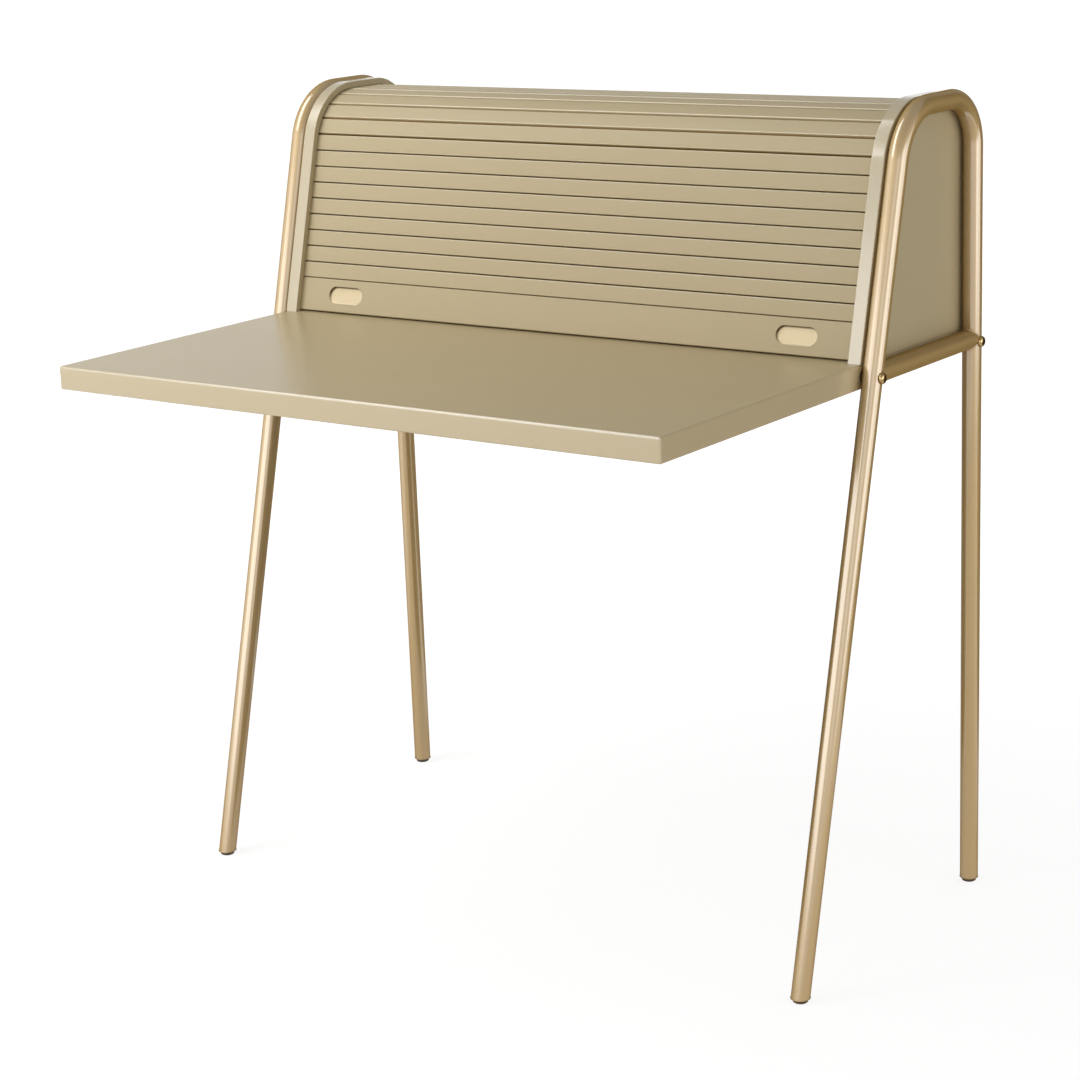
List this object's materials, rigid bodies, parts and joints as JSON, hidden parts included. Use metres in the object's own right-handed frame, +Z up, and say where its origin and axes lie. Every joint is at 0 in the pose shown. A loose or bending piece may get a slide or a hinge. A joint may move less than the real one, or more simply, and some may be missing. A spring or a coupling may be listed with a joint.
{
  "type": "roll top desk",
  "caption": "Compact roll top desk: two arched tube leg frames carry a lacquered board and a low tambour cabinet whose slatted curtain rolls up and back.",
  "frame": {"origin": "on the floor, midway along X and midway between the board's front edge and the backs of the rear legs", "axes": "+X to the right of someone at the desk, +Y to its back, +Z up"},
  "size_m": [0.9708, 0.711, 1.057],
  "materials": {
    "khaki_lacquer": "satin khaki lacquer on wood board",
    "gold_tube": "satin champagne gold on steel tube",
    "gold_bolt": "satin champagne gold",
    "pull_metal": "satin pale gold",
    "dark_plastic": "matte",
    "zinc_steel": "zinc plated"
  },
  "bodies": {
    "desk": {"desk_board": "khaki_lacquer", "frame_tube_left": "gold_tube", "frame_tube_right": "gold_tube", "crossbar_left": "gold_tube", "crossbar_right": "gold_tube", "foot_front_left": "dark_plastic", "foot_front_right": "dark_plastic", "foot_rear_left": "dark_plastic", "foot_rear_right": "dark_plastic", "side_panel_left": "khaki_lacquer", "side_panel_right": "khaki_lacquer", "back_panel": "khaki_lacquer", "inner_back": "khaki_lacquer", "frame_bolts": "gold_bolt", "frame_spacers": "dark_plastic", "threaded_inserts": "zinc_steel", "panel_screws": "zinc_steel", "back_screws": "zinc_steel"},
    "lead_rail": {"lead_rail": "khaki_lacquer", "pull_cup_left": "pull_metal", "pull_cup_right": "pull_metal"},
    "slat_01": {"slat_01": "khaki_lacquer"},
    "slat_02": {"slat_02": "khaki_lacquer"},
    "slat_03": {"slat_03": "khaki_lacquer"},
    "slat_04": {"slat_04": "khaki_lacquer"},
    "slat_05": {"slat_05": "khaki_lacquer"},
    "slat_06": {"slat_06": "khaki_lacquer"},
    "slat_07": {"slat_07": "khaki_lacquer"},
    "slat_08": {"slat_08": "khaki_lacquer"},
    "slat_09": {"slat_09": "khaki_lacquer"},
    "slat_10": {"slat_10": "khaki_lacquer"},
    "slat_11": {"slat_11": "khaki_lacquer"},
    "slat_12": {"slat_12": "khaki_lacquer"},
    "slat_13": {"slat_13": "khaki_lacquer"},
    "slat_14": {"slat_14": "khaki_lacquer"},
    "slat_15": {"slat_15": "khaki_lacquer"},
    "slat_16": {"slat_16": "khaki_lacquer"},
    "slat_17": {"slat_17": "khaki_lacquer"},
    "slat_18": {"slat_18": "khaki_lacquer"},
    "slat_19": {"slat_19": "khaki_lacquer"},
    "slat_20": {"slat_20": "khaki_lacquer"},
    "slat_21": {"slat_21": "khaki_lacquer"},
    "slat_22": {"slat_22": "khaki_lacquer"}
  },
  "joints": [
    {"name": "roll_up", "type": "slide", "parent": "desk", "child": "lead_rail", "axis": [0, 0.247, 0.969], "range_m": [0, 0.17606], "deforming": ["slat_01", "slat_02", "slat_03", "slat_04", "slat_05", "slat_06", "slat_07", "slat_08", "slat_09", "slat_10", "slat_11", "slat_12", "slat_13", "slat_14", "slat_15", "slat_16", "slat_17", "slat_18", "slat_19", "slat_20", "slat_21", "slat_22"]},
    {"name": "slat_01_run", "type": "slide", "parent": "desk", "child": "slat_01", "axis": [0, 0.2473, 0.9689], "range_m": [0, 0.17616]},
    {"name": "slat_02_turn", "type": "hinge", "parent": "desk", "child": "slat_02", "pos_m": [0, 0.95044, 0.69249], "axis": [-1, 0, 0], "range_deg": [0, 11.93]},
    {"name": "slat_03_turn", "type": "hinge", "parent": "desk", "child": "slat_03", "pos_m": [0, 0.46543, 0.82992], "axis": [-1, 0, 0], "range_deg": [0, 29.2]},
    {"name": "slat_04_turn", "type": "hinge", "parent": "desk", "child": "slat_04", "pos_m": [0, 0.34182, 0.87343], "axis": [-1, 0, 0], "range_deg": [0, 46.48]},
    {"name": "slat_05_turn", "type": "hinge", "parent": "desk", "child": "slat_05", "pos_m": [0, 0.28664, 0.89916], "axis": [-1, 0, 0], "range_deg": [0, 63.75]},
    {"name": "slat_06_turn", "type": "hinge", "parent": "desk", "child": "slat_06", "pos_m": [0, 0.26523, 0.91289], "axis": [-1, 0, 0], "range_deg": [0, 75.39]},
    {"name": "slat_07_turn", "type": "hinge", "parent": "desk", "child": "slat_07", "pos_m": [0, 0.26481, 0.91327], "axis": [-1, 0, 0], "range_deg": [0, 75.71]},
    {"name": "slat_08_turn", "type": "hinge", "parent": "desk", "child": "slat_08", "pos_m": [0, 0.26395, 0.91437], "axis": [-1, 0, 0], "range_deg": [0, 76.5]},
    {"name": "slat_09_turn", "type": "hinge", "parent": "desk", "child": "slat_09", "pos_m": [0, 0.2525, 0.93617], "axis": [-1, 0, 0], "range_deg": [0, 92.89]},
    {"name": "slat_10_turn", "type": "hinge", "parent": "desk", "child": "slat_10", "pos_m": [0, 0.24867, 0.94936], "axis": [-1, 0, 0], "range_deg": [0, 104.21]},
    {"name": "slat_11_turn", "type": "hinge", "parent": "desk", "child": "slat_11", "pos_m": [0, 0.24828, 0.95547], "axis": [-1, 0, 0], "range_deg": [0, 109.86]},
    {"name": "slat_12_turn", "type": "hinge", "parent": "desk", "child": "slat_12", "pos_m": [0, 0.24898, 0.95975], "axis": [-1, 0, 0], "range_deg": [0, 114.21]},
    {"name": "slat_13_turn", "type": "hinge", "parent": "desk", "child": "slat_13", "pos_m": [0, 0.24424, 0.94855], "axis": [-1, 0, 0], "range_deg": [0, 101.97]},
    {"name": "slat_14_turn", "type": "hinge", "parent": "desk", "child": "slat_14", "pos_m": [0, 0.23646, 0.93793], "axis": [-1, 0, 0], "range_deg": [0, 90.33]},
    {"name": "slat_15_turn", "type": "hinge", "parent": "desk", "child": "slat_15", "pos_m": [0, 0.23617, 0.93767], "axis": [-1, 0, 0], "range_deg": [0, 90.01]},
    {"name": "slat_16_turn", "type": "hinge", "parent": "desk", "child": "slat_16", "pos_m": [0, 0.23527, 0.93717], "axis": [-1, 0, 0], "range_deg": [0, 89.22]},
    {"name": "slat_17_turn", "type": "hinge", "parent": "desk", "child": "slat_17", "pos_m": [0, 0.20896, 0.92852], "axis": [-1, 0, 0], "range_deg": [0, 72.52]},
    {"name": "slat_18_turn", "type": "hinge", "parent": "desk", "child": "slat_18", "pos_m": [0, 0.14248, 0.91708], "axis": [-1, 0, 0], "range_deg": [0, 49.59]},
    {"name": "slat_19_turn", "type": "hinge", "parent": "desk", "child": "slat_19", "pos_m": [0, -0.03603, 0.90495], "axis": [-1, 0, 0], "range_deg": [0, 26.67]},
    {"name": "slat_20_turn", "type": "hinge", "parent": "desk", "child": "slat_20", "pos_m": [0, -1.66744, 0.88707], "axis": [-1, 0, 0], "range_deg": [0, 5.04]},
    {"name": "slat_21_run", "type": "slide", "parent": "desk", "child": "slat_21", "axis": [0, 0, -1], "range_m": [0, 0.17616]},
    {"name": "slat_22_run", "type": "slide", "parent": "desk", "child": "slat_22", "axis": [0, 0, -1], "range_m": [0, 0.17616]}
  ],
  "couplings": [
    {"joint": "slat_01_run", "follows": "roll_up", "ratio": 0.99999},
    {"joint": "slat_02_turn", "follows": "roll_up", "rad_per_m": 1.1815},
    {"joint": "slat_03_turn", "follows": "roll_up", "rad_per_m": 2.8939},
    {"joint": "slat_04_turn", "follows": "roll_up", "rad_per_m": 4.6062},
    {"joint": "slat_05_turn", "follows": "roll_up", "rad_per_m": 6.3185},
    {"joint": "slat_06_turn", "follows": "roll_up", "rad_per_m": 7.4726},
    {"joint": "slat_07_turn", "follows": "roll_up", "rad_per_m": 7.5043},
    {"joint": "slat_08_turn", "follows": "roll_up", "rad_per_m": 7.5828},
    {"joint": "slat_09_turn", "follows": "roll_up", "rad_per_m": 9.2073},
    {"joint": "slat_10_turn", "follows": "roll_up", "rad_per_m": 10.329},
    {"joint": "slat_11_turn", "follows": "roll_up", "rad_per_m": 10.89},
    {"joint": "slat_12_turn", "follows": "roll_up", "rad_per_m": 11.321},
    {"joint": "slat_13_turn", "follows": "roll_up", "rad_per_m": 10.108},
    {"joint": "slat_14_turn", "follows": "roll_up", "rad_per_m": 8.9536},
    {"joint": "slat_15_turn", "follows": "roll_up", "rad_per_m": 8.9219},
    {"joint": "slat_16_turn", "follows": "roll_up", "rad_per_m": 8.8434},
    {"joint": "slat_17_turn", "follows": "roll_up", "rad_per_m": 7.1879},
    {"joint": "slat_18_turn", "follows": "roll_up", "rad_per_m": 4.9152},
    {"joint": "slat_19_turn", "follows": "roll_up", "rad_per_m": 2.6425},
    {"joint": "slat_20_turn", "follows": "roll_up", "rad_per_m": 0.4987},
    {"joint": "slat_21_run", "follows": "roll_up", "ratio": 1},
    {"joint": "slat_22_run", "follows": "roll_up", "ratio": 1}
  ]
}
